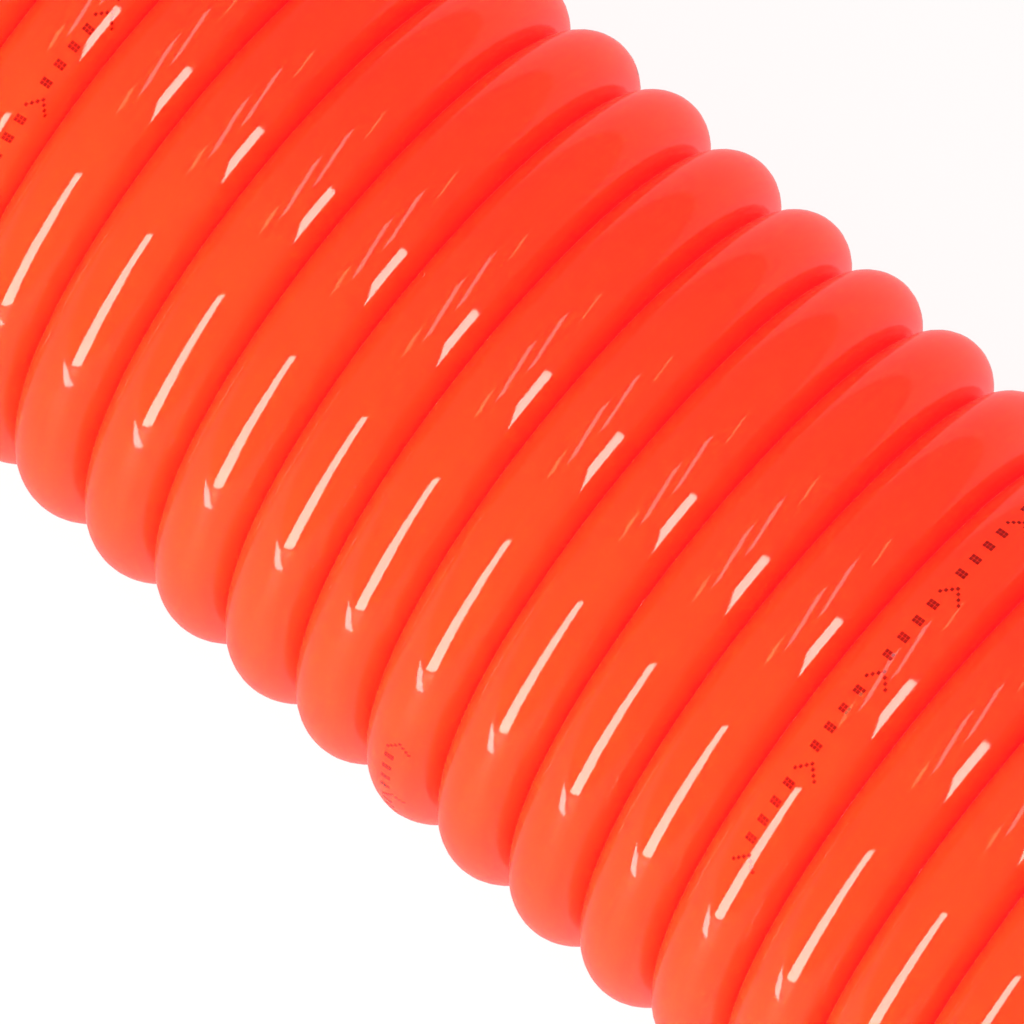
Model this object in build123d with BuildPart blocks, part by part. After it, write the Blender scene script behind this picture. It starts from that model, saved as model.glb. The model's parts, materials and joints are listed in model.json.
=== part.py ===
"""A coiled polyurethane air hose, with a swivelling plug at its inlet and a swivelling quick coupler at its
outlet.

Millimetres, +Z up. The coil lies on its side along X, with the floor at Z = 0 and the origin on the floor
under the coil's middle. The inlet is at -X and the outlet at +X. A fitting's lengths are depths, measured
along its own axis from its mouth or tip towards the hose.
"""

import math
import os

from build123d import *

# The hose
TUBE_R = 6.0  # outside radius
BORE_R = 4.0
MANDREL_R = 35.0  # inside radius of the coil
COIL_R = MANDREL_R + TUBE_R  # radius of the hose's centreline in the coil
PITCH = 12.2  # along the axis, from turn to turn
TURNS = 22
COIL_LENGTH = TURNS * PITCH
CLEAR = 0.3  # gap between soft solids of different bodies

# The routes of the two straight ends, from the coil to the end face of the hose
OUTLET_ROUTE = [
    (134.2, 0.0, 6.0),
    (135.2, 22.0, 6.0),
    (144.7, 42.4, 7.2),
    (161.7, 57.9, 9.2),
    (185.0, 66.9, 11.6),
    (214.9, 69.0, 13.0),
    (275.3, 69.0, 13.0),
]
INLET_ROUTE = [
    (-134.2, 0.0, 6.0),
    (-135.2, -22.0, 6.0),
    (-144.7, -42.4, 7.2),
    (-161.7, -57.9, 9.2),
    (-185.0, -66.9, 11.6),
    (-219.9, -69.0, 13.0),
    (-285.3, -69.0, 13.0),
]
ARC_SHARE = 0.45  # how much of a run each of its two arcs may take

# The fittings
SLEEVE_R = 13.0  # the largest radius, on which a fitting lies
EDGE = 0.5  # the usual chamfer on a turned edge
GAP = 0.02  # between neighbours that touch when they are put together
SOCKET_HOUSING = 51.0  # depth of the swivel housing's end face, on the coupler
PLUG_HOUSING = 41.0  # and on the plug
HOSE_END = 13.2  # from the housing's end face to the hose's end face
HEX_FLATS = 22.0
ADAPTER_R = 9.5

# The swivel that joins each fitting to the hose
SPIGOT_R = 5.0
SPIGOT_CLEAR = 0.03
SPIGOT_LENGTH = 14.0
SWIVEL_WIRE_R = 0.7
SWIVEL_GROOVE = 4.7  # from the housing's end face to the middle of the wire's groove
SWIVEL_GROOVE_WIDTH = 1.6
SWIVEL_GROOVE_DEEP = 0.8
SEAL_WIRE_R = 0.55
SEAL_GROOVE = 10.0
SEAL_GROOVE_WIDTH = 2.0
WASHER_THICK = 1.0
WASHER_CLEAR = 0.05
WASHER_ROOM = 0.2
BARB_BORE_R = 2.75
BARB_TIP_R = 4.45
BARB_COUNT = 3
BARB_PITCH = 5.0
BARB_START = 2.0  # from the boss to the first barb
STEM_LENGTH = 18.0
FLANGE_FLATS = 17.0
FLANGE_THICK = 5.0
BOSS_R = 8.0
THREAD_CLEAR = 0.05

# The nut and the bend guard
NUT_FLATS = 19.0
NUT_START = 7.0
NUT_HEX_END = 24.0
NUT_END = 34.0
NUT_HOLE_R = 6.15
NUT_THREAD_LENGTH = 7.5
NUT_CONE_LENGTH = 5.5
GUARD_SEAT = 6.0  # how deep the guard sits in the nut's end
GUARD_ROOM = 0.2
GUARD_WIRE_R = 0.8
GUARD_R = 7.1
GUARD_START = 29.0
GUARD_LENGTH = 40.0
GUARD_PITCH = 2.5

# The coupler, from its mouth back
BODY_R = 8.5
STOP_GROOVE_START = 1.4
STOP_GROOVE_END = 2.4
STOP_GROOVE_R = 7.9
STOP_RING_R = 10.0
MOUTH_WALL_START = 0.6
MOUTH_WALL_END = 3.4
RELIEF_START = 3.6
RELIEF_END = 8.4
NOSE_STOP = 11.9  # the step behind which the bore narrows
SEAL_POCKET_START = 13.2
SEAL_POCKET_END = 16.2
SEAL_POCKET_R = 7.2
VALVE_THROAT = 18.5
VALVE_SEAT = 19.5
MOUTH_R = 6.1
RELIEF_R = 6.3  # round the balls
SEAT_R = 5.06
BALL_R = 2.0
BALL_HOLE_R = 2.06
BALL_LIP_R = 1.87  # at the hole's inner edge, so that the ball can't fall through
BALL_COUNT = 6
BALL_DEPTH = 6.0
BALL_OFFSET = 7.08  # from the axis to a ball's centre, locked
RAMP = 0.25  # rise of the sleeve's cone, which lifts the balls
SLEEVE_START = 0.6
SLEEVE_END = 24.6
LAND_START = 6.5
LAND_END = 8.4
LAND_R = 9.1
CHAMBER_R = 11.0
CHAMBER_START = 11.5
GUIDE_GAP = 0.06
FLANGE_START = 21.5
FLANGE_END = 24.5
REAR_R = 10.4
BODY_END = 31.0
THREAD_R = 9.0
SLEEVE_WIRE_R = 0.5
SLEEVE_SPRING_R = 9.75
SLEEVE_SPRING_TURNS = 4
FLUTES = 36
FLUTE_R = 0.55
FLUTE_START = 7.4
FLUTE_LENGTH = 10.2
WAIST_DEEP = 0.8  # the two shallow waists round the grip
VALVE_FRONT = 18.9
VALVE_BOSS_R = 4.7
VALVE_HEAD = 20.4
VALVE_BACK = 22.4
VALVE_HEAD_R = 6.9
VALVE_CHAMBER_R = 7.6
VALVE_WIRE_R = 0.45
VALVE_SPRING_R = 5.2
VALVE_SPRING_TURNS = 5
VALVE_STEM_R = 2.0
VALVE_STEM_END = 33.0
VALVE_SLOT = 1.6
VALVE_SLOT_DEEP = 0.9
ADAPTER_NOSE = 22.2
ADAPTER_HEX_START = 32.0
ADAPTER_HEX_END = 40.0
GUIDE_START = 31.5
GUIDE_END = 33.5
GUIDE_R = 2.1
AIR_HOLES = 5
AIR_HOLE_R = 0.95
AIR_CIRCLE_R = 3.3

# The plug
NOSE_R = 5.0
NOSE_LENGTH = 10.3
NOSE_CHAMFER = 0.8
COLLAR_R = 6.0
COLLAR_START = 11.3
COLLAR_END = 13.6
LOCK_GROOVE_R = 4.95
LOCK_GROOVE_START = 14.6
LOCK_GROOVE_END = 17.6
SHANK_START = 18.6
STOP_FLANGE_START = 22.5
STOP_FLANGE_END = 25.0
STOP_FLANGE_EDGE = 0.4
PLUG_HEX_START = 24.8
PLUG_HEX_END = 33.0
PLUG_BORE_R = 3.2


def end_plane(hose_end, depth, towards_hose):
    """The plane through a fitting's axis: its X is the depth and its Y the distance from the axis."""
    x, y, z = hose_end
    mouth = (x - depth * towards_hose, y, z)
    return Plane(origin=mouth, x_dir=(towards_hose, 0, 0), z_dir=(0, -towards_hose, 0))


SOCKET = end_plane(OUTLET_ROUTE[-1], SOCKET_HOUSING + HOSE_END, -1)
PLUG = end_plane(INLET_ROUTE[-1], PLUG_HOUSING + HOSE_END, 1)
ENDS = {"inlet": (PLUG, PLUG_HOUSING), "outlet": (SOCKET, SOCKET_HOUSING)}


def cross_plane(end, depth):
    """The plane across a fitting's axis at a depth, facing the hose."""
    return Plane(origin=end.from_local_coords((depth, 0, 0)), z_dir=end.x_dir, x_dir=end.y_dir)


def turn(end, outline, mode=Mode.ADD, arc=360.0):
    """Turns an outline of (depth, radius) points about the fitting's axis, in the part being built."""
    with BuildSketch(end) as section:
        with BuildLine():
            Polyline(*outline, close=True)
        make_face()
    revolve(section.sketch, axis=Axis(end.origin, end.x_dir), revolution_arc=arc, mode=mode)


def turn_ring(end, depth, radius, wire, arc=360.0):
    """A ring of round wire about the fitting's axis."""
    with BuildSketch(end) as section:
        with Locations((depth, radius)):
            Circle(wire)
    revolve(section.sketch, axis=Axis(end.origin, end.x_dir), revolution_arc=arc)


def hexagon(end, start, stop, flats, chamfer_depth=0.8):
    """A hexagon with turned chamfers, cut from bar."""
    with BuildSketch(cross_plane(end, start)) as section:
        RegularPolygon(flats / 2, 6, major_radius=False)
    extrude(section.sketch, amount=stop - start)
    corner = flats / math.sqrt(3)
    low = flats / 2 - 0.1
    turn(
        end,
        [
            (start, 0),
            (start, low),
            (start + chamfer_depth, corner),
            (stop - chamfer_depth, corner),
            (stop, low),
            (stop, 0),
        ],
        mode=Mode.INTERSECT,
    )


def coil_spring(end, start, stop, radius, wire, pitch):
    """Round wire wound about the fitting's axis, with the wire's middle between the two depths."""
    centre = end.from_local_coords((start, 0, 0))
    with BuildLine() as path:
        Helix(pitch, stop - start, radius, center=centre, direction=end.x_dir)
    with BuildSketch(Plane(origin=path.line @ 0, z_dir=path.line % 0)) as section:
        Circle(wire)
    sweep(section.sketch, path=path.line, is_frenet=True)


def arc_radii(route):
    """The radius of the arc at each corner of a route: as large as its two runs allow."""
    points = [Vector(*point) for point in route]
    runs = [b - a for a, b in zip(points, points[1:])]
    radii = []
    for before, after in zip(runs, runs[1:]):
        shorter = min(before.length, after.length)
        half_turn = math.radians(before.get_angle(after)) / 2
        radii.append(ARC_SHARE * shorter / math.tan(half_turn))
    return radii


def save(part, name):
    part.part.label = name
    export_step(part.part, f"parts/{name}.step")


# ---- The hose: its coil as one plain solid, and its two straight ends as tubes ----


def make_coil():
    """The outside shape of the wound hose, between the turns that its two ends leave from."""
    half = COIL_LENGTH / 2 - TUBE_R - CLEAR
    with BuildPart() as hose_coil:
        with BuildSketch(Plane.YZ.offset(-half)):
            with Locations((0, COIL_R + TUBE_R)):
                Circle(COIL_R + TUBE_R)
                Circle(MANDREL_R, mode=Mode.SUBTRACT)
        extrude(amount=2 * half)
    save(hose_coil, "hose_coil")


def make_tail(name, route):
    """A straight end: runs joined by arcs, from the coil to the end face inside the nut."""
    radii = arc_radii(route)
    with BuildPart() as tail:
        with BuildLine() as path:
            FilletPolyline(*route, radius=radii)
        with BuildSketch(Plane(origin=path.line @ 0, z_dir=path.line % 0)) as section:
            Circle(TUBE_R)
            Circle(BORE_R, mode=Mode.SUBTRACT)
        sweep(section.sketch, path=path.line)
    length = path.wires()[0].length
    wanted = math.pi * (TUBE_R**2 - BORE_R**2) * length
    print(name, "length", round(length, 1), "radii", [round(r, 1) for r in radii])
    print(name, "volume over section times length", round(tail.part.volume / wanted, 4))
    save(tail, name)


# ---- The pieces that hold the hose, alike at both ends ----


def make_washer(name, end, housing):
    """The slippery washer between the swivel's housing and the barb's flange."""
    start, stop = housing + WASHER_CLEAR, housing + WASHER_THICK - WASHER_CLEAR
    inside = SPIGOT_R + WASHER_ROOM
    with BuildPart() as washer:
        turn(end, [(start, inside), (start, BOSS_R), (stop, BOSS_R), (stop, inside)])
    save(washer, name)


def make_barb(name, end, housing):
    """The hose's insert: spigot, flange, threaded boss and barbed stem, bored through."""
    tip = housing - SPIGOT_LENGTH
    flange = housing + WASHER_THICK
    boss_end = housing + HOSE_END
    stem_end = boss_end + STEM_LENGTH
    first_barb = boss_end + BARB_START
    barbs = [(boss_end, BORE_R), (first_barb, BORE_R)]
    for k in range(BARB_COUNT):
        foot = first_barb + k * BARB_PITCH
        barbs += [(foot, BARB_TIP_R), (foot + BARB_PITCH, BORE_R)]
    spigot = [(tip, 0), (tip, SPIGOT_R - EDGE), (tip + EDGE, SPIGOT_R), (flange, SPIGOT_R), (flange, 0)]
    boss_edge = [(boss_end - EDGE, BOSS_R), (boss_end, BOSS_R - EDGE)]
    boss = [(flange, 0), (flange, BOSS_R), *boss_edge, (boss_end, 0)]
    stem = [(boss_end, 0), *barbs, (stem_end, BORE_R - 0.4), (stem_end, 0)]
    seal_groove = groove(housing - SEAL_GROOVE, SEAL_GROOVE_WIDTH, SPIGOT_R - 2 * SEAL_WIRE_R)
    wire_groove = groove(housing - SWIVEL_GROOVE, SWIVEL_GROOVE_WIDTH, SPIGOT_R - SWIVEL_GROOVE_DEEP)
    with BuildPart() as barb:
        hexagon(end, flange, flange + FLANGE_THICK, FLANGE_FLATS, chamfer_depth=0.6)
        for outline in (spigot, boss, stem):
            turn(end, outline)
        for outline in (seal_groove, wire_groove, bore(tip, stem_end, BARB_BORE_R)):
            turn(end, outline, mode=Mode.SUBTRACT)
    save(barb, name)


def groove(middle, width, bottom):
    """The outline that cuts a square groove into the spigot."""
    start, stop, outside = middle - width / 2, middle + width / 2, SPIGOT_R + EDGE
    return [(start, bottom), (start, outside), (stop, outside), (stop, bottom)]


def bore(start, stop, radius):
    """The outline that cuts a plain hole along the axis."""
    return [(start, 0), (start, radius), (stop, radius), (stop, 0)]


def make_nut(name, end, housing):
    """The clamping nut: a thread, a cone that presses the hose on the barbs, and the bend guard's seat."""
    start, hex_end, stop = housing + NUT_START, housing + NUT_HEX_END, housing + NUT_END
    collar = NUT_FLATS / 2
    thread_end = start + NUT_THREAD_LENGTH
    cone_end = thread_end + NUT_CONE_LENGTH
    guard_start = stop - GUARD_SEAT
    guard_r = GUARD_R + GUARD_WIRE_R + GUARD_ROOM
    with BuildPart() as nut:
        hexagon(end, start, hex_end, NUT_FLATS)
        turn(end, [(hex_end, 0), (hex_end, collar), (stop - 4, collar), (stop, collar - 0.7), (stop, 0)])
        turn(
            end,
            [
                (start, 0),
                (start, BOSS_R + 0.6),
                (start + 0.6, BOSS_R + THREAD_CLEAR),
                (thread_end, BOSS_R + THREAD_CLEAR),
                (cone_end, NUT_HOLE_R),
                (guard_start, NUT_HOLE_R),
                (guard_start, guard_r),
                (stop, guard_r),
                (stop, 0),
            ],
            mode=Mode.SUBTRACT,
        )
    save(nut, name)


def make_guard(name, end, housing):
    """The coiled wire that keeps the hose from kinking at the nut."""
    start = housing + GUARD_START
    with BuildPart() as guard:
        coil_spring(end, start, start + GUARD_LENGTH, GUARD_R, GUARD_WIRE_R, GUARD_PITCH)
    save(guard, name)


def make_swivel_seal(name, end, housing):
    with BuildPart() as seal:
        turn_ring(end, housing - SEAL_GROOVE, SPIGOT_R - SEAL_WIRE_R, SEAL_WIRE_R)
    save(seal, name)


def make_swivel_ring(name, end, housing):
    """The split wire ring, half in the spigot and half in the housing, that keeps them together."""
    with BuildPart() as ring:
        turn_ring(end, housing - SWIVEL_GROOVE, SPIGOT_R, SWIVEL_WIRE_R, arc=330)
    save(ring, name)


def housing_outline(start, housing):
    """The outline of a swivel's housing, from the hexagon before it to its end face."""
    edge = 0.6
    rim = [(housing - edge, ADAPTER_R), (housing, ADAPTER_R - edge)]
    return [(start, 0), (start, ADAPTER_R), *rim, (housing, 0)]


def cut_housing(end, housing, bore_start):
    """Cuts the swivel's bore and its wire groove into the fitting being built."""
    radius = SPIGOT_R + SPIGOT_CLEAR
    middle = housing - SWIVEL_GROOVE
    start, stop = middle - SWIVEL_GROOVE_WIDTH / 2, middle + SWIVEL_GROOVE_WIDTH / 2
    turn(end, bore(bore_start, housing, radius), mode=Mode.SUBTRACT)
    turn(end, bore(start, stop, SPIGOT_R + SWIVEL_GROOVE_DEEP), mode=Mode.SUBTRACT)


# ---- The plug ----


def make_plug():
    """The nose that a coupler takes: seal cylinder, collar, locking groove, stem, stop flange and hexagon."""
    with BuildPart() as plug_body:
        hexagon(PLUG, PLUG_HEX_START, PLUG_HEX_END, HEX_FLATS)
        turn(
            PLUG,
            [
                (0, 0),
                (0, NOSE_R - NOSE_CHAMFER),
                (NOSE_CHAMFER, NOSE_R),
                (NOSE_LENGTH, NOSE_R),
                (COLLAR_START, COLLAR_R),
                (COLLAR_END, COLLAR_R),
                (LOCK_GROOVE_START, LOCK_GROOVE_R),
                (LOCK_GROOVE_END, LOCK_GROOVE_R),
                (SHANK_START, COLLAR_R),
                (STOP_FLANGE_START, COLLAR_R),
                (STOP_FLANGE_START, SLEEVE_R - STOP_FLANGE_EDGE),
                (STOP_FLANGE_START + STOP_FLANGE_EDGE, SLEEVE_R),
                (STOP_FLANGE_END - STOP_FLANGE_EDGE, SLEEVE_R),
                (STOP_FLANGE_END, SLEEVE_R - STOP_FLANGE_EDGE),
                (STOP_FLANGE_END, 0),
            ],
        )
        turn(PLUG, housing_outline(PLUG_HEX_END, PLUG_HOUSING))
        turn(PLUG, bore(0, 27.0, PLUG_BORE_R), mode=Mode.SUBTRACT)
        cut_housing(PLUG, PLUG_HOUSING, 26.5)
    save(plug_body, "plug_body")


# ---- The coupler ----


def make_socket_body():
    """The coupler's front: mouth, ball holes, seal groove, valve seat and a threaded rear chamber."""
    with BuildPart() as socket_body:
        turn(
            SOCKET,
            [
                (0, 0),
                (0, BODY_R - EDGE),
                (EDGE, BODY_R),
                (STOP_GROOVE_START, BODY_R),
                (STOP_GROOVE_START, STOP_GROOVE_R),
                (STOP_GROOVE_END, STOP_GROOVE_R),
                (STOP_GROOVE_END, BODY_R),
                (FLANGE_START, BODY_R),
                (FLANGE_START, CHAMBER_R - 0.1),
                (FLANGE_END, CHAMBER_R - 0.1),
                (FLANGE_END, REAR_R),
                (BODY_END, REAR_R),
                (BODY_END, 0),
            ],
        )
        turn(
            SOCKET,
            [
                (0, 0),
                (0, MOUTH_R + MOUTH_WALL_START),
                (MOUTH_WALL_START, MOUTH_R),
                (MOUTH_WALL_END, MOUTH_R),
                (RELIEF_START, RELIEF_R),
                (RELIEF_END, RELIEF_R),
                (RELIEF_END + 0.2, MOUTH_R),
                (NOSE_STOP, MOUTH_R),
                (NOSE_STOP, SEAT_R),
                (SEAL_POCKET_START, SEAT_R),
                (SEAL_POCKET_START, SEAL_POCKET_R),
                (SEAL_POCKET_END, SEAL_POCKET_R),
                (SEAL_POCKET_END, SEAT_R),
                (VALVE_THROAT, SEAT_R),
                (VALVE_THROAT, 5.6),
                (VALVE_SEAT, 5.6),
                (VALVE_SEAT, VALVE_CHAMBER_R),
                (22.0, VALVE_CHAMBER_R),
                (22.0, THREAD_R + THREAD_CLEAR),
                (BODY_END, THREAD_R + THREAD_CLEAR),
                (BODY_END, 0),
            ],
            mode=Mode.SUBTRACT,
        )
        for k in range(BALL_COUNT):
            top = BODY_R + 1
            lip = [(0, 0), (0, BALL_LIP_R), (RELIEF_R, BALL_LIP_R)]
            hole = [(RELIEF_R + 0.5, BALL_HOLE_R), (top, BALL_HOLE_R), (top, 0)]
            turn(ball_plane(k), lip + hole, mode=Mode.SUBTRACT)
    save(socket_body, "socket_body")


def ball_plane(k):
    """The plane whose X runs from the fitting's axis, at the balls' depth, out to ball k."""
    angle = 2 * math.pi * k / BALL_COUNT
    outwards = SOCKET.y_dir * math.cos(angle) + SOCKET.z_dir * math.sin(angle)
    return Plane(origin=SOCKET.from_local_coords((BALL_DEPTH, 0, 0)), x_dir=outwards, z_dir=SOCKET.x_dir)


def make_balls():
    """The balls that drop into the plug's groove, each free to move outwards in its hole."""
    for k in range(BALL_COUNT):
        with BuildPart(Plane(ball_plane(k).from_local_coords((BALL_OFFSET, 0, 0)))) as ball:
            Sphere(BALL_R)
        save(ball, f"lock_ball_{k + 1}")


def make_front_seal():
    """The lip seal that grips the plug's nose, with a groove for the pressure behind its lip."""
    with BuildPart() as front_seal:
        turn(
            SOCKET,
            [(13.3, 5.03), (13.3, 7.15), (16.1, 7.15), (16.1, 6.4), (15.0, 6.1), (16.1, 5.5), (16.1, 5.03)],
        )
    save(front_seal, "front_seal")


def make_stop_ring():
    """The split ring at the mouth that keeps the sleeve on."""
    with BuildPart() as stop_ring:
        start, stop, inside = STOP_GROOVE_START + GAP, STOP_GROOVE_END - GAP, STOP_GROOVE_R + 0.05
        turn(SOCKET, [(start, inside), (start, STOP_RING_R), (stop, STOP_RING_R), (stop, inside)], arc=335)
    save(stop_ring, "stop_ring")


def waist(start):
    """Part of the sleeve's outline: a shallow waist, sloped at both ends."""
    slope, flat = 0.6, 1.4
    bottom = SLEEVE_R - WAIST_DEEP
    stop = start + 2 * slope + flat
    return [(start, SLEEVE_R), (start + slope, bottom), (stop - slope, bottom), (stop, SLEEVE_R)]


def make_sleeve():
    """The sliding sleeve: a cone over the balls, a guide, a spring chamber and a fluted grip."""
    front_r = LAND_R + RAMP * (LAND_START - SLEEVE_START)
    with BuildPart() as sleeve:
        turn(
            SOCKET,
            [
                (SLEEVE_START, front_r),
                (SLEEVE_START, SLEEVE_R - 0.6),
                (SLEEVE_START + 0.6, SLEEVE_R),
                *waist(4.0),
                *waist(18.4),
                (SLEEVE_END - 0.6, SLEEVE_R),
                (SLEEVE_END, SLEEVE_R - 0.6),
                (SLEEVE_END, CHAMBER_R),
                (CHAMBER_START, CHAMBER_R),
                (CHAMBER_START, BODY_R + GUIDE_GAP),
                (LAND_END, BODY_R + GUIDE_GAP),
                (LAND_END, LAND_R),
                (LAND_START, LAND_R),
            ],
        )
        with BuildSketch(cross_plane(SOCKET, FLUTE_START)) as flutes:
            with PolarLocations(SLEEVE_R, FLUTES):
                Circle(FLUTE_R)
        extrude(flutes.sketch, amount=FLUTE_LENGTH, mode=Mode.SUBTRACT)
    save(sleeve, "sleeve")


def make_sleeve_spring():
    with BuildPart() as sleeve_spring:
        start, stop = CHAMBER_START + SLEEVE_WIRE_R + GAP, FLANGE_START - SLEEVE_WIRE_R - GAP
        pitch = (stop - start) / SLEEVE_SPRING_TURNS
        coil_spring(SOCKET, start, stop, SLEEVE_SPRING_R, SLEEVE_WIRE_R, pitch)
    save(sleeve_spring, "sleeve_spring")


def make_valve_poppet():
    """The valve: a slotted boss that the plug pushes, a head that seals, and a guide stem."""
    with BuildPart() as valve_poppet:
        turn(
            SOCKET,
            [
                (VALVE_FRONT, 0),
                (VALVE_FRONT, VALVE_BOSS_R - 0.4),
                (VALVE_FRONT + 0.4, VALVE_BOSS_R),
                (VALVE_HEAD, VALVE_BOSS_R),
                (VALVE_HEAD, VALVE_HEAD_R),
                (VALVE_BACK - 0.4, VALVE_HEAD_R),
                (VALVE_BACK, VALVE_HEAD_R - 0.4),
                (VALVE_BACK, VALVE_STEM_R),
                (VALVE_STEM_END - 0.4, VALVE_STEM_R),
                (VALVE_STEM_END, VALVE_STEM_R - 0.4),
                (VALVE_STEM_END, 0),
            ],
        )
        with BuildSketch(cross_plane(SOCKET, VALVE_FRONT)) as slots:
            Rectangle(2 * VALVE_BOSS_R + 2, VALVE_SLOT)
            Rectangle(VALVE_SLOT, 2 * VALVE_BOSS_R + 2)
        extrude(slots.sketch, amount=VALVE_SLOT_DEEP, mode=Mode.SUBTRACT)
    save(valve_poppet, "valve_poppet")


def make_valve_seal():
    with BuildPart() as valve_seal:
        turn(SOCKET, [(19.56, 4.76), (19.56, 6.6), (20.38, 6.8), (20.38, 4.76)])
    save(valve_seal, "valve_seal")


def make_valve_spring():
    with BuildPart() as valve_spring:
        start, stop = VALVE_BACK + VALVE_WIRE_R + GAP, GUIDE_START - VALVE_WIRE_R - GAP
        pitch = (stop - start) / VALVE_SPRING_TURNS
        coil_spring(SOCKET, start, stop, VALVE_SPRING_R, VALVE_WIRE_R, pitch)
    save(valve_spring, "valve_spring")


def make_adapter():
    """The coupler's rear: threaded nose, valve chamber and guide, hexagon and swivel housing."""
    with BuildPart() as socket_adapter:
        hexagon(SOCKET, ADAPTER_HEX_START, ADAPTER_HEX_END, HEX_FLATS)
        turn(
            SOCKET,
            [
                (ADAPTER_NOSE, 0),
                (ADAPTER_NOSE, THREAD_R - 0.4),
                (ADAPTER_NOSE + 0.4, THREAD_R),
                (ADAPTER_HEX_START, THREAD_R),
                (ADAPTER_HEX_START, 0),
            ],
        )
        turn(SOCKET, housing_outline(ADAPTER_HEX_END, SOCKET_HOUSING))
        turn(SOCKET, bore(ADAPTER_NOSE, GUIDE_START, VALVE_CHAMBER_R), mode=Mode.SUBTRACT)
        turn(SOCKET, bore(GUIDE_START, GUIDE_END, GUIDE_R), mode=Mode.SUBTRACT)
        turn(SOCKET, bore(GUIDE_END, 37.0, 4.5), mode=Mode.SUBTRACT)
        with BuildSketch(cross_plane(SOCKET, GUIDE_START)) as air_holes:
            with PolarLocations(AIR_CIRCLE_R, AIR_HOLES):
                Circle(AIR_HOLE_R)
        extrude(air_holes.sketch, amount=GUIDE_END - GUIDE_START, mode=Mode.SUBTRACT)
        cut_housing(SOCKET, SOCKET_HOUSING, 36.5)
    save(socket_adapter, "socket_adapter")


def make_body_gasket():
    with BuildPart() as body_gasket:
        start, stop, inside = BODY_END + GAP, ADAPTER_HEX_START - GAP, THREAD_R + 0.1
        turn(SOCKET, [(start, inside), (start, REAR_R), (stop, REAR_R), (stop, inside)])
    save(body_gasket, "body_gasket")


def main():
    os.makedirs("parts", exist_ok=True)
    make_coil()
    make_tail("inlet_tail", INLET_ROUTE)
    make_tail("outlet_tail", OUTLET_ROUTE)
    for side, (end, housing) in ENDS.items():
        make_washer(f"{side}_washer", end, housing)
        make_barb(f"{side}_barb", end, housing)
        make_nut(f"{side}_nut", end, housing)
        make_guard(f"{side}_bend_guard", end, housing)
        make_swivel_seal(f"{side}_swivel_seal", end, housing)
        make_swivel_ring(f"{side}_swivel_ring", end, housing)
    make_plug()
    make_socket_body()
    make_balls()
    make_front_seal()
    make_stop_ring()
    make_sleeve()
    make_sleeve_spring()
    make_valve_poppet()
    make_valve_seal()
    make_valve_spring()
    make_adapter()
    make_body_gasket()


main()
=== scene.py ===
"""The looks of the coiled air hose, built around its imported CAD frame."""

import json
import math

import bpy
import numpy as np
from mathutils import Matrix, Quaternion, Vector


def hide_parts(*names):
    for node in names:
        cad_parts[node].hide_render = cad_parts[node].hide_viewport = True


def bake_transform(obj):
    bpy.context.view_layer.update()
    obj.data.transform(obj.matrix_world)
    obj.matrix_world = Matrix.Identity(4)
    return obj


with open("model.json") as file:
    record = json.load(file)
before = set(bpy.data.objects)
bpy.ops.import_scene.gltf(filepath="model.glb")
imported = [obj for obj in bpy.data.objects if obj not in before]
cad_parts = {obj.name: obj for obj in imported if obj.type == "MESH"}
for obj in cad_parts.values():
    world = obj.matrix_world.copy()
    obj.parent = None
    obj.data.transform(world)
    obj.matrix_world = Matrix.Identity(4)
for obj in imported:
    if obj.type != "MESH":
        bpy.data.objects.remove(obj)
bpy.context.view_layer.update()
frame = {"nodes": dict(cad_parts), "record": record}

MM = 0.001

# The hose and its coil, as in part.py
TUBE_R = 6.0 * MM
BORE_R = 4.0 * MM
COIL_R = 41.0 * MM
COIL_Z = COIL_R + TUBE_R
PITCH = 12.2 * MM
TURNS = 22
HALF_COIL = TURNS * PITCH / 2

# The routes of the hose's two straight ends, from the coil to the end inside each nut, as in part.py
OUTLET_ROUTE = [
    (0.1342, 0.0, 0.006),
    (0.1352, 0.022, 0.006),
    (0.1447, 0.0424, 0.0072),
    (0.1617, 0.0579, 0.0092),
    (0.185, 0.0669, 0.0116),
    (0.2149, 0.069, 0.013),
    (0.2753, 0.069, 0.013),
]
INLET_ROUTE = [
    (-0.1342, 0.0, 0.006),
    (-0.1352, -0.022, 0.006),
    (-0.1447, -0.0424, 0.0072),
    (-0.1617, -0.0579, 0.0092),
    (-0.185, -0.0669, 0.0116),
    (-0.2199, -0.069, 0.013),
    (-0.2853, -0.069, 0.013),
]


# ---- Small helpers ----


def direction(azimuth, elevation):
    """The unit vector towards an azimuth, from +X round to +Y, and an elevation, in degrees."""
    a, e = math.radians(azimuth), math.radians(elevation)
    return Vector((math.cos(a) * math.cos(e), math.sin(a) * math.cos(e), math.sin(e)))


def link(obj):
    bpy.context.scene.collection.objects.link(obj)
    return obj


def mesh_object(name, points, faces):
    """A smooth-shaded mesh in the scene."""
    mesh = bpy.data.meshes.new(name)
    mesh.from_pydata([tuple(p) for p in points], [], faces)
    mesh.polygons.foreach_set("use_smooth", [True] * len(mesh.polygons))
    mesh.update()
    return link(bpy.data.objects.new(name, mesh))


def ring_spokes(out, across, sides):
    """Unit vectors all round a ring, in the plane of two directions."""
    turn = 2 * math.pi * np.arange(sides) / sides
    return np.cos(turn)[:, None] * out + np.sin(turn)[:, None] * across


def tube_faces(rings, sides):
    """The faces between the rings of a tube, then a cap on each end."""
    faces = []
    for ring in range(rings - 1):
        for side in range(sides):
            here, following = ring * sides, (side + 1) % sides
            faces.append((here + side, here + following, here + sides + following, here + sides + side))
    last = (rings - 1) * sides
    faces.append(tuple(range(sides))[::-1])
    faces.append(tuple(last + side for side in range(sides)))
    return faces


# ---- Camera ----

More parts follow.
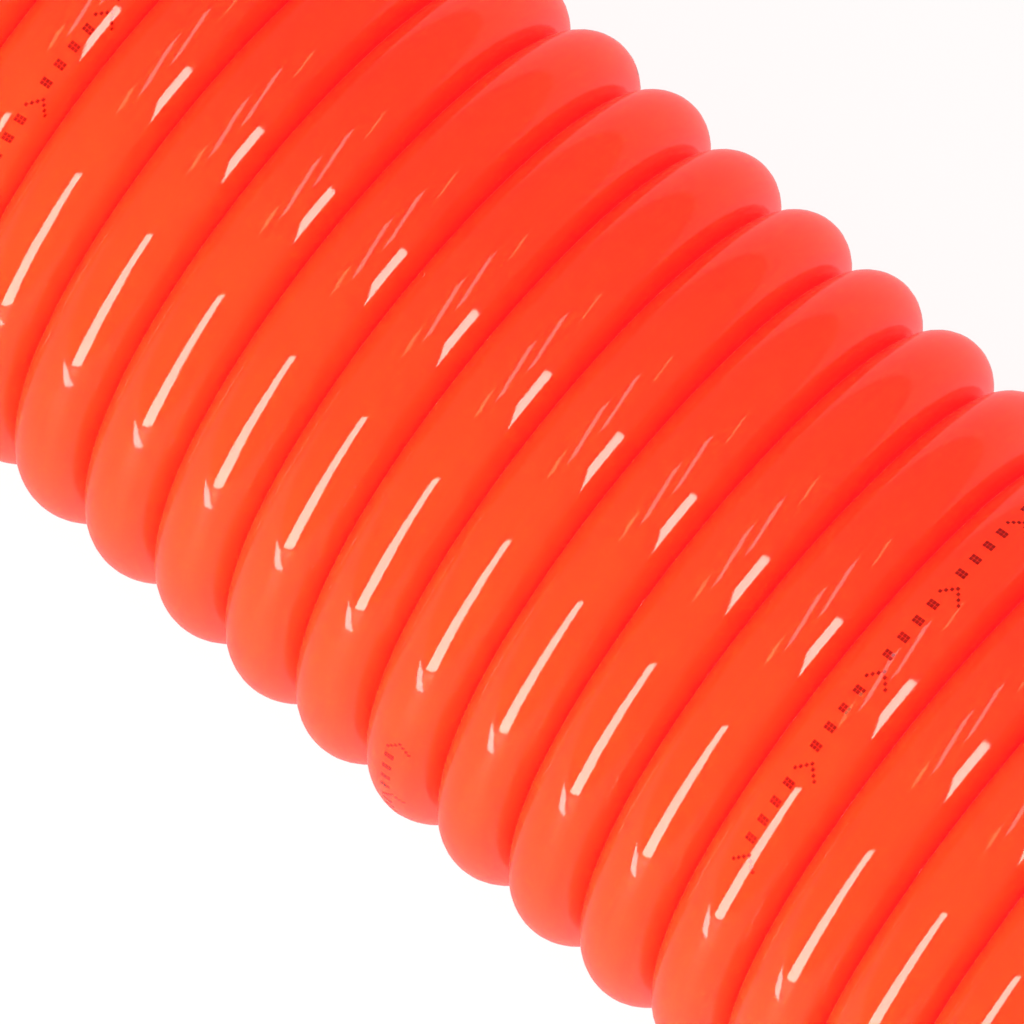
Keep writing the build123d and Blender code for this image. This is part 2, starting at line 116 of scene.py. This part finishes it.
CAMERA_AZIMUTH = 40.92  # the way the camera looks, turned from +Y towards -X
CAMERA_ELEVATION = 71.17
CAMERA_ROLL = 1.2
CAMERA_DISTANCE = 1.826
CAMERA_LENS = 500
CAMERA_SENSOR = 36
CAMERA_REACH = 50
CAMERA_TARGET = Vector((0.00876, -0.00826, COIL_Z))


def make_camera():
    data = bpy.data.cameras.new("camera")
    data.lens = CAMERA_LENS
    data.sensor_width = CAMERA_SENSOR
    data.clip_end = CAMERA_REACH
    camera = link(bpy.data.objects.new("camera", data))
    back = direction(CAMERA_AZIMUTH - 90, CAMERA_ELEVATION)
    camera.location = CAMERA_TARGET + CAMERA_DISTANCE * back
    roll = Quaternion((0, 0, 1), math.radians(CAMERA_ROLL))
    camera.rotation_euler = ((-back).to_track_quat("-Z", "Y") @ roll).to_euler()
    bpy.context.scene.camera = camera


# ---- Hose ----

COIL_STEPS = 24  # points of the spline in each turn
LINE_STEPS = 8  # points read from the spline between two of its own
RING_STEP = 2.7 * MM
SIDES = 40
BORE_RINGS = 3  # rings that the bore goes into each end


def coil_points():
    """The spline's points in the coil: a little outside the helix, because the line cuts inside them."""
    half_step = math.pi / COIL_STEPS
    radius = COIL_R * 8 / (6 + 2 * math.cos(2 * half_step))
    points = []
    for k in range(1, TURNS * COIL_STEPS):
        angle = 2 * half_step * k - math.pi / 2
        x = -HALF_COIL + PITCH * k / COIL_STEPS
        points.append((x, radius * math.cos(angle), COIL_Z + radius * math.sin(angle)))
    return points


def hose_line():
    """Points along the hose's centreline, close together, read from its spline."""
    route = INLET_ROUTE[::-1] + coil_points() + OUTLET_ROUTE
    curve = bpy.data.curves.new("hose_route", "CURVE")
    curve.dimensions = "3D"
    curve.resolution_u = LINE_STEPS
    spline = curve.splines.new("NURBS")
    spline.points.add(len(route) - 1)
    for point, place in zip(spline.points, route):
        point.co = (*place, 1.0)
    spline.order_u = 3
    spline.use_endpoint_u = True
    carrier = link(bpy.data.objects.new("hose_route", curve))
    bpy.context.view_layer.update()
    mesh = bpy.data.meshes.new_from_object(carrier)
    line = np.array([v.co for v in mesh.vertices])
    bpy.data.objects.remove(carrier)
    bpy.data.meshes.remove(mesh)
    return line


class Hose:
    """The hose's centreline at even steps, with a frame at each: along, out and across."""

    def __init__(self, line):
        gaps = np.linalg.norm(np.diff(line, axis=0), axis=1)
        reach = np.concatenate([[0.0], np.cumsum(gaps)])
        self.length = reach[-1]
        count = int(round(self.length / RING_STEP)) + 1
        self.reach = np.linspace(0.0, self.length, count)
        self.line = np.stack([np.interp(self.reach, reach, line[:, k]) for k in range(3)], axis=1)
        along = np.gradient(self.line, axis=0)
        self.along = along / np.linalg.norm(along, axis=1)[:, None]
        self.out = self.find_out()
        self.across = np.cross(self.along, self.out)

    def find_out(self):
        """The way out from the coil's axis, carried on without twist along the straight ends."""
        inside = np.abs(self.line[:, 0]) < HALF_COIL - PITCH / 4
        first, last = np.flatnonzero(inside)[[0, -1]]
        out = self.line * (0, 1, 1) - (0, 0, COIL_Z)
        for order in (range(first - 1, -1, -1), range(last + 1, len(self.line))):
            towards = 1 if order.step < 0 else -1
            for k in order:
                out[k] = out[k + towards]
                out[k] -= self.along[k] * (out[k] @ self.along[k])
                out[k] /= np.linalg.norm(out[k])
        out -= self.along * np.sum(out * self.along, axis=1)[:, None]
        return out / np.linalg.norm(out, axis=1)[:, None]

    def at(self, reach):
        """Centre, along, out and across at distances along the hose."""
        rows = []
        for values in (self.line, self.along, self.out, self.across):
            rows.append(np.stack([np.interp(reach, self.reach, values[:, k]) for k in range(3)], axis=-1))
        return rows

    def coil_span(self):
        """The distances along the hose at which the coil begins and ends."""
        inside = np.flatnonzero(np.abs(self.line[:, 0]) < HALF_COIL)
        return self.reach[inside[0]], self.reach[inside[-1]]

    def stretch_share(self, reach):
        """How much of the outlet's travel a point at this distance follows: evenly spread over the coil, and
        eased over its first and last half turns."""
        start, stop = self.coil_span()
        ease = math.pi * COIL_R
        even = stop - start - ease
        into = np.clip(reach - start, 0, ease)
        out_of = np.clip(stop - reach, 0, ease)
        rising = into**2 / (2 * ease)
        falling = even - out_of**2 / (2 * ease)
        middle = np.clip(reach - start, 0, stop - start) - ease / 2
        share = np.where(reach - start < ease, rising, np.where(stop - reach < ease, falling, middle))
        return np.clip(share / even, 0, 1)


def stretch_with_coil(obj, hose, reach):
    """Bakes a mesh's placement into its points; each point's share of the outlet's travel is worked out but
    not kept.
    """
    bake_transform(obj)
    hose.stretch_share(np.asarray(reach))


def unwrap_hose(obj, reach):
    """Coordinates along the hose, in lengths of its own girth, and once round it."""
    corners = np.zeros(len(obj.data.loops), int)
    obj.data.loops.foreach_get("vertex_index", corners)
    around = (corners % SIDES) / SIDES
    along = np.array(reach)[corners]
    place = np.stack([along / (2 * math.pi * TUBE_R), around], axis=1)
    quads = np.arange(len(obj.data.polygons) - 2)
    last_of_ring = quads[quads % SIDES == SIDES - 1]
    for corner in (1, 2):
        place[last_of_ring * 4 + corner, 1] = 1.0
    obj.data.uv_layers.new(name="along_and_round").data.foreach_set("uv", place.ravel())


def make_hose(hose):
    """The tube. Each end shows its cut face, and its bore goes a few rings deep."""
    count = len(hose.line)
    bore_start = [(k, BORE_R) for k in range(BORE_RINGS)][::-1]
    bore_end = [(count - 1 - k, BORE_R) for k in range(BORE_RINGS)]
    rings = bore_start + [(k, TUBE_R) for k in range(count)] + bore_end
    points, reach = [], []
    for k, radius in rings:
        points += list(hose.line[k] + radius * ring_spokes(hose.out[k], hose.across[k], SIDES))
        reach += [hose.reach[k]] * SIDES
    obj = mesh_object("hose_tube", points, tube_faces(len(rings), SIDES))
    unwrap_hose(obj, reach)
    stretch_with_coil(obj, hose, reach)
    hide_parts("hose_coil", "inlet_tail", "outlet_tail")
    return obj


# ---- Printed marks ----

MARK_ROWS = 6
MARK_TURNS = 1.94  # turns of the coil from its inlet end to where the first row begins
MARK_GAP = 11 / 3  # turns from one row to the next
MARK_ROLL = 60.0  # how far the rows are rolled off the coil's crown towards +X, in degrees
MARK_TWIST = -34 / 3  # the roll's change from one row to the next, in degrees
MARK_COUNT = 26
MARK_STEP = 2.55 * MM
ARROW_EVERY = 5
DOT = 0.46 * MM
DOT_STEP = 0.5 * MM
DOT_LIFT = 0.03 * MM


def mark_dots(number):
    """The dots of one mark, as steps along the hose and across it: now and then an arrowhead, and a short
    double stroke at the other places."""
    if number % ARROW_EVERY == 0:
        return [(abs(row) - 1, row) for row in range(-3, 4)]
    return [(column, row) for column in (0, 1) for row in range(-3, 0)]


def make_marks(hose, number):
    """A row of marks printed in dots, which runs back towards the inlet from where it begins."""
    turns = MARK_TURNS + (number - 1) * MARK_GAP
    begin = hose.coil_span()[0] + turns * math.hypot(2 * math.pi * COIL_R, PITCH)
    roll = math.radians(MARK_ROLL + MARK_TWIST * number)
    corners = ((-1, -1), (1, -1), (1, 1), (-1, 1))
    places, angles = [], []
    for mark in range(MARK_COUNT):
        for column, row in mark_dots(mark):
            for side_x, side_y in corners:
                places.append(begin - mark * MARK_STEP + column * DOT_STEP + side_x * DOT / 2)
                angles.append(roll + (row * DOT_STEP + side_y * DOT / 2) / TUBE_R)
    centre, _, out, across = hose.at(np.array(places))
    spokes = np.cos(angles)[:, None] * out - np.sin(angles)[:, None] * across
    points = centre + (TUBE_R + DOT_LIFT) * spokes
    faces = [tuple(range(k, k + len(corners))) for k in range(0, len(points), len(corners))]
    marks = mesh_object(f"printed_marks_{number}", points, faces)
    stretch_with_coil(marks, hose, places)
    return marks


# ---- Springs of the sleeve and the valve ----

COUPLER_MOUTH = Vector((0.3395, 0.069, 0.013))
SLEEVE_SPRING = {"start": 12.02 * MM, "stop": 20.98 * MM, "radius": 9.75 * MM, "wire": 0.5 * MM, "turns": 4}
VALVE_SPRING = {"start": 22.87 * MM, "stop": 31.03 * MM, "radius": 5.2 * MM, "wire": 0.45 * MM, "turns": 5}
SPRING_STEPS = 40  # rings of the wire in each turn
WIRE_SIDES = 12


def make_spring(node, moving, start, stop, radius, wire, turns):
    """A spring between two depths from the coupler's mouth. The moving body that it is given is not used."""
    steps = np.arange(turns * SPRING_STEPS + 1)
    share = steps / steps[-1]
    angle = 2 * math.pi * turns * share
    out = np.stack([0 * angle, -np.cos(angle), np.sin(angle)], axis=1)
    line = np.array(COUPLER_MOUTH) + radius * out
    line[:, 0] -= start + (stop - start) * share
    along = np.gradient(line, axis=0)
    along /= np.linalg.norm(along, axis=1)[:, None]
    across = np.cross(along, out)
    points = []
    for k in steps:
        points += list(line[k] + wire * ring_spokes(out[k], across[k], WIRE_SIDES))
    spring = mesh_object(f"{node}_wire", points, tube_faces(len(steps), WIRE_SIDES))
    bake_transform(spring)
    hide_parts(node)
    return spring


# ---- Materials ----


class Nodes:
    """A node material being built round a Principled shader."""

    def __init__(self, name):
        self.material = bpy.data.materials.new(name)
        self.material.use_nodes = True
        self.tree = self.material.node_tree
        self.shader = self.tree.nodes["Principled BSDF"]

    def add(self, kind, **values):
        """A new node, with each value given to the input of that name or else to the node itself."""
        node = self.tree.nodes.new(kind)
        for key, value in values.items():
            if key in node.inputs:
                node.inputs[key].default_value = value
            else:
                setattr(node, key, value)
        return node

    def join(self, source, target):
        self.tree.links.new(source, target)

    def set(self, **values):
        """Sets the shader's own inputs, with each space in a name written as an underscore."""
        for key, value in values.items():
            self.shader.inputs[key.replace("_", " ")].default_value = value

    def ramp(self, source, *stops):
        """A colour ramp on a value, with two stops of (place, colour)."""
        node = self.tree.nodes.new("ShaderNodeValToRGB")
        for element, (place, colour) in zip(node.color_ramp.elements, stops):
            element.position = place
            element.color = (*colour, 1.0)
        self.join(source, node.inputs["Fac"])
        return node.outputs["Color"]

    def noise(self, coordinates, scale, detail=3.0):
        """A cloudy value from 0 to 1, finer with a larger scale."""
        texture = self.add("ShaderNodeTexNoise", Scale=scale, Detail=detail, Roughness=0.5)
        self.join(coordinates, texture.inputs["Vector"])
        return texture.outputs["Fac"]

    def vary_roughness(self, source, low, high):
        spread = self.add("ShaderNodeMapRange")
        self.join(source, spread.inputs["Value"])
        spread.inputs["To Min"].default_value = low
        spread.inputs["To Max"].default_value = high
        self.join(spread.outputs["Result"], self.shader.inputs["Roughness"])

    def bump(self, source, strength, depth):
        node = self.add("ShaderNodeBump", Strength=strength, Distance=depth)
        self.join(source, node.inputs["Height"])
        self.join(node.outputs["Normal"], self.shader.inputs["Normal"])


TUBE_DEEP = (0.95, 0.031, 0.0015)
TUBE_PALE = (0.98, 0.04, 0.003)
TUBE_SCATTER = (1.0, 0.08, 0.04)
TUBE_PAINTED_GLOW_COLOUR = (1.0, 0.02, 0.03, 1.0)
TUBE_PAINTED_GLOW = 0.35  # painted glow: the tube's own red emission, which stands in for the red light that the translucent tube carries into its grooves
LINES_ROUND = 90.0  # the fineness of the die's draw lines round the tube
LINES_ALONG = 0.5  # and along it
LINES_IN_COLOUR = 0.35  # how much of the colour's unevenness follows the lines


def hose_material():
    """Glossy, slightly translucent polyurethane with faint draw lines from its die, and a painted red glow.
    """
    nodes = Nodes("orange_polyurethane")
    coordinates = nodes.add("ShaderNodeTexCoord")
    stretch = nodes.add("ShaderNodeMapping")
    stretch.inputs["Scale"].default_value = (LINES_ALONG, LINES_ROUND, 1.0)
    nodes.join(coordinates.outputs["UV"], stretch.inputs["Vector"])
    lines = nodes.noise(stretch.outputs["Vector"], 1.0)
    clouds = nodes.noise(coordinates.outputs["Object"], 30.0)
    mix = nodes.add("ShaderNodeMath", operation="MULTIPLY_ADD")
    nodes.join(lines, mix.inputs[0])
    mix.inputs[1].default_value = LINES_IN_COLOUR
    nodes.join(clouds, mix.inputs[2])
    colour = nodes.ramp(mix.outputs[0], (0.35, TUBE_DEEP), (0.9, TUBE_PALE))
    nodes.join(colour, nodes.shader.inputs["Base Color"])
    nodes.vary_roughness(clouds, 0.03, 0.06)
    # the emission is a painted red glow that lightens the grooves, standing in for light carried through the
    # tube
    nodes.set(IOR=1.5, Subsurface_Weight=1.0, Subsurface_Scale=0.005, Emission_Strength=TUBE_PAINTED_GLOW)
    nodes.set(Emission_Color=TUBE_PAINTED_GLOW_COLOUR, Subsurface_Radius=TUBE_SCATTER)
    nodes.bump(lines, 0.05, 0.1 * MM)
    return nodes.material


def ink_material():
    """The dark red that black ink looks on the hose, a little uneven from dot to dot."""
    nodes = Nodes("mark_ink")
    coordinates = nodes.add("ShaderNodeTexCoord")
    patches = nodes.noise(coordinates.outputs["Object"], 900.0)
    colour = nodes.ramp(patches, (0.3, (0.24, 0.004, 0.002)), (0.7, (0.36, 0.007, 0.003)))
    nodes.join(colour, nodes.shader.inputs["Base Color"])
    nodes.set(Roughness=0.06, IOR=1.5)
    return nodes.material


TURNED_SCALE = (9000.0, 40.0, 40.0)  # turning lines lie close along X and run on round it
STAIN_SHADE = 0.9


def metal_material(name, colour, roughness, turned=0.0):
    """Bare or plated metal with fine turning lines round X and slight staining."""
    nodes = Nodes(name)
    coordinates = nodes.add("ShaderNodeTexCoord")
    stains = nodes.noise(coordinates.outputs["Object"], 220.0)
    dark = tuple(STAIN_SHADE * c for c in colour)
    tint = nodes.ramp(stains, (0.3, dark), (0.65, colour))
    nodes.join(tint, nodes.shader.inputs["Base Color"])
    nodes.vary_roughness(stains, roughness * 0.8, roughness * 1.3)
    nodes.set(Metallic=1.0)
    if turned:
        flatten = nodes.add("ShaderNodeMapping")
        flatten.inputs["Scale"].default_value = TURNED_SCALE
        nodes.join(coordinates.outputs["Object"], flatten.inputs["Vector"])
        lines = nodes.noise(flatten.outputs["Vector"], 1.0, detail=1.0)
        nodes.bump(lines, turned, 0.02 * MM)
    return nodes.material


def soft_material(name, colour):
    """Matt rubber or plastic with a fine grain."""
    nodes = Nodes(name)
    coordinates = nodes.add("ShaderNodeTexCoord")
    grain = nodes.noise(coordinates.outputs["Object"], 2500.0)
    tint = nodes.ramp(grain, (0.3, colour), (0.7, tuple(1.3 * c + 0.005 for c in colour)))
    nodes.join(tint, nodes.shader.inputs["Base Color"])
    nodes.set(Roughness=0.55)
    nodes.bump(grain, 0.15, 0.05 * MM)
    return nodes.material


def finish_fittings(springs):
    """Gives every part of the fittings the look of its material slot."""
    looks = {
        "nickel": metal_material("nickel_plate", (0.66, 0.64, 0.6), 0.16, turned=0.25),
        "brass": metal_material("turned_brass", (0.8, 0.6, 0.3), 0.22, turned=0.35),
        "spring_steel": metal_material("spring_wire", (0.55, 0.55, 0.56), 0.25),
        "balls": metal_material("bearing_steel", (0.75, 0.75, 0.77), 0.06),
        "seals": soft_material("nitrile_rubber", (0.012, 0.012, 0.013)),
        "washers": soft_material("white_plastic", (0.7, 0.7, 0.67)),
    }
    slots = {part["node"]: part["material_slot"] for part in frame["record"]["subparts"]}
    for node, obj in frame["nodes"].items():
        if slots[node] in looks:
            obj.data.materials.clear()
            obj.data.materials.append(looks[slots[node]])
    for spring in springs:
        spring.data.materials.append(looks["spring_steel"])


# ---- Studio ----

FLOOR_SIZE = 12.0
FLOOR_LAYER = 0.1 * MM  # the step from one floor sheet up to the next
FLOOR_GLOW = 0.82
FLOOR_SHADE = 0.15
MIRRORED_GLOW = 0.29
MIRRORED_SHADE = 0.05
CEILING_GLOW = 0.2

# The glare's two ends on the floor, as distance and azimuth from the coil, and the angle it covers
GLARE_GLOW = 8.5
GLARE_FAR = (0.85, -100)
GLARE_NEAR = (0.38, -82)
GLARE_SPREAD = 14

WHITE = (1.0, 1.0, 1.0)
WINDOW_COLOUR = (1.0, 0.98, 0.85)
WINDOW_RADIANCE = 12.5
LAMP_COLOUR = (1.0, 0.95, 0.4)
TUBE_LIGHT_AZIMUTH = -40
TUBE_LIGHT_HEIGHT = 2.0
TUBE_LIGHT_WIDTH = 0.2
TUBE_LIGHT_RADIANCE = 3.0


def make_flat(name, corners, height):
    """A flat four-sided sheet at a height."""
    flat = mesh_object(name, [(x, y, height) for x, y in corners], [(0, 1, 2, 3)])
    return flat


def glare_corners():
    """The painted patch of the window's glare on the floor, which leans away from the window's own
    direction.
    """
    corners = []
    for (distance, azimuth), sides in ((GLARE_FAR, (-1, 1)), (GLARE_NEAR, (1, -1))):
        for side in sides:
            spot = distance * direction(azimuth + side * GLARE_SPREAD / 2, 0)
            corners.append((spot.x, spot.y))
    return corners


def floor_material(name, glow, lightest):
    """A faintly clouded matt floor that glows."""
    nodes = Nodes(name)
    coordinates = nodes.add("ShaderNodeTexCoord")
    clouds = nodes.noise(coordinates.outputs["Object"], 3.0)
    tint = nodes.ramp(clouds, (0.3, (0.9 * lightest,) * 3), (0.7, (lightest,) * 3))
    nodes.join(tint, nodes.shader.inputs["Base Color"])
    nodes.set(Roughness=0.6, Emission_Strength=glow, Emission_Color=(*WHITE, 1.0))
    return nodes.material


def only_in_gloss(obj):
    """Leaves an object to be seen in reflections alone."""
    obj.visible_camera = False
    obj.visible_diffuse = False
    obj.visible_transmission = False
    obj.visible_shadow = False


def make_floor():
    """A white floor lit from below as a light table is, what the gloss shows of it, which is dimmer, and
    a painted glare of the wide window on it: a glowing patch seen only in gloss."""
    half = FLOOR_SIZE / 2
    square = [(-half, -half), (half, -half), (half, half), (-half, half)]
    floor = make_flat("floor", square, 0.0)
    floor.data.materials.append(floor_material("pale_floor", FLOOR_GLOW, FLOOR_SHADE))
    floor.visible_glossy = False
    mirrored = make_flat("floor_in_gloss", square, FLOOR_LAYER)
    mirrored.data.materials.append(floor_material("dim_floor", MIRRORED_GLOW, MIRRORED_SHADE))
    only_in_gloss(mirrored)
    # painted glare: a glowing patch seen only in gloss, standing in for the wide window's reflection in the
    # floor
    glare = make_flat("window_glare", glare_corners(), 2 * FLOOR_LAYER)
    glare.data.materials.append(floor_material("glare_on_floor", GLARE_GLOW, MIRRORED_SHADE))
    only_in_gloss(glare)


def make_panel(name, centre, towards, width, height, radiance, colour=WHITE):
    """A flat light that shines along a direction, its height in the upright plane of that direction."""
    data = bpy.data.lights.new(name, "AREA")
    data.shape = "RECTANGLE"
    data.size = width
    data.size_y = height
    data.color = colour
    data.energy = radiance * math.pi * width * height
    light = link(bpy.data.objects.new(name, data))
    light.location = centre
    light.rotation_euler = towards.to_track_quat("-Z", "Y").to_euler()
    light.visible_camera = False
    return light


def make_window(name, azimuth, distance, width, low, high):
    """An upright light that faces the coil, from a low to a high edge."""
    way = direction(azimuth, 0)
    centre = distance * way + Vector((0, 0, (low + high) / 2))
    make_panel(name, centre, -way, width, high - low, WINDOW_RADIANCE, WINDOW_COLOUR)


def make_fill(name, azimuth, elevation, distance, size, radiance):
    """A soft light that brightens a side of the object without showing in its gloss."""
    way = direction(azimuth, elevation)
    make_panel(name, distance * way, -way, size, size, radiance).visible_glossy = False


def make_tube_light(name, aside, along, length, colour=WHITE):
    """A long ceiling lamp, aside from the point over the coil and moved along its own line."""
    line = direction(TUBE_LIGHT_AZIMUTH, 0)
    centre = aside * direction(TUBE_LIGHT_AZIMUTH + 90, 0) + along * line
    centre.z = TUBE_LIGHT_HEIGHT
    down = Vector((0, 0, -1))
    lamp = make_panel(name, centre, down, length, TUBE_LIGHT_WIDTH, TUBE_LIGHT_RADIANCE, colour)
    lamp.rotation_euler = (0, 0, math.radians(TUBE_LIGHT_AZIMUTH))


def make_world():
    """A dim even glow from all round, as a pale room gives."""
    world = bpy.data.worlds.new("studio")
    bpy.context.scene.world = world
    world.use_nodes = True
    background = world.node_tree.nodes["Background"]
    background.inputs["Color"].default_value = (*WHITE, 1.0)
    background.inputs["Strength"].default_value = CEILING_GLOW


def make_studio():
    make_floor()
    make_window("wide_window", azimuth=-81, distance=1.1, width=0.36, low=0.02, high=1.33)
    make_window("narrow_window", azimuth=5.8, distance=2.2, width=0.55, low=0.01, high=1.71)
    make_fill("back_fill", azimuth=110, elevation=25, distance=1.6, size=1.4, radiance=2.5)
    make_fill("front_fill", azimuth=-100, elevation=20, distance=1.6, size=1.4, radiance=8.0)
    make_fill("top_fill", azimuth=-40, elevation=75, distance=1.8, size=1.2, radiance=2.0)
    make_tube_light("near_lamp", aside=-0.6, along=0.05, length=0.4, colour=LAMP_COLOUR)
    make_tube_light("middle_lamp", aside=0.0, along=-0.03, length=1.0)
    make_tube_light("far_lamp", aside=0.66, along=-0.03, length=1.0)
    make_tube_light("last_lamp", aside=2.0, along=0.1, length=0.6, colour=LAMP_COLOUR)
    make_world()
    bpy.context.scene.view_settings.view_transform = "Standard"


def main():
    make_camera()
    hose = Hose(hose_line())
    tube = make_hose(hose)
    marks = [make_marks(hose, number) for number in range(1, MARK_ROWS + 1)]
    tube.data.materials.append(hose_material())
    ink = ink_material()
    for row in marks:
        row.data.materials.append(ink)
    sleeve_spring = make_spring("sleeve_spring", "sleeve", **SLEEVE_SPRING)
    valve_spring = make_spring("valve_spring", "valve", **VALVE_SPRING)
    finish_fittings([sleeve_spring, valve_spring])
    make_studio()


main()
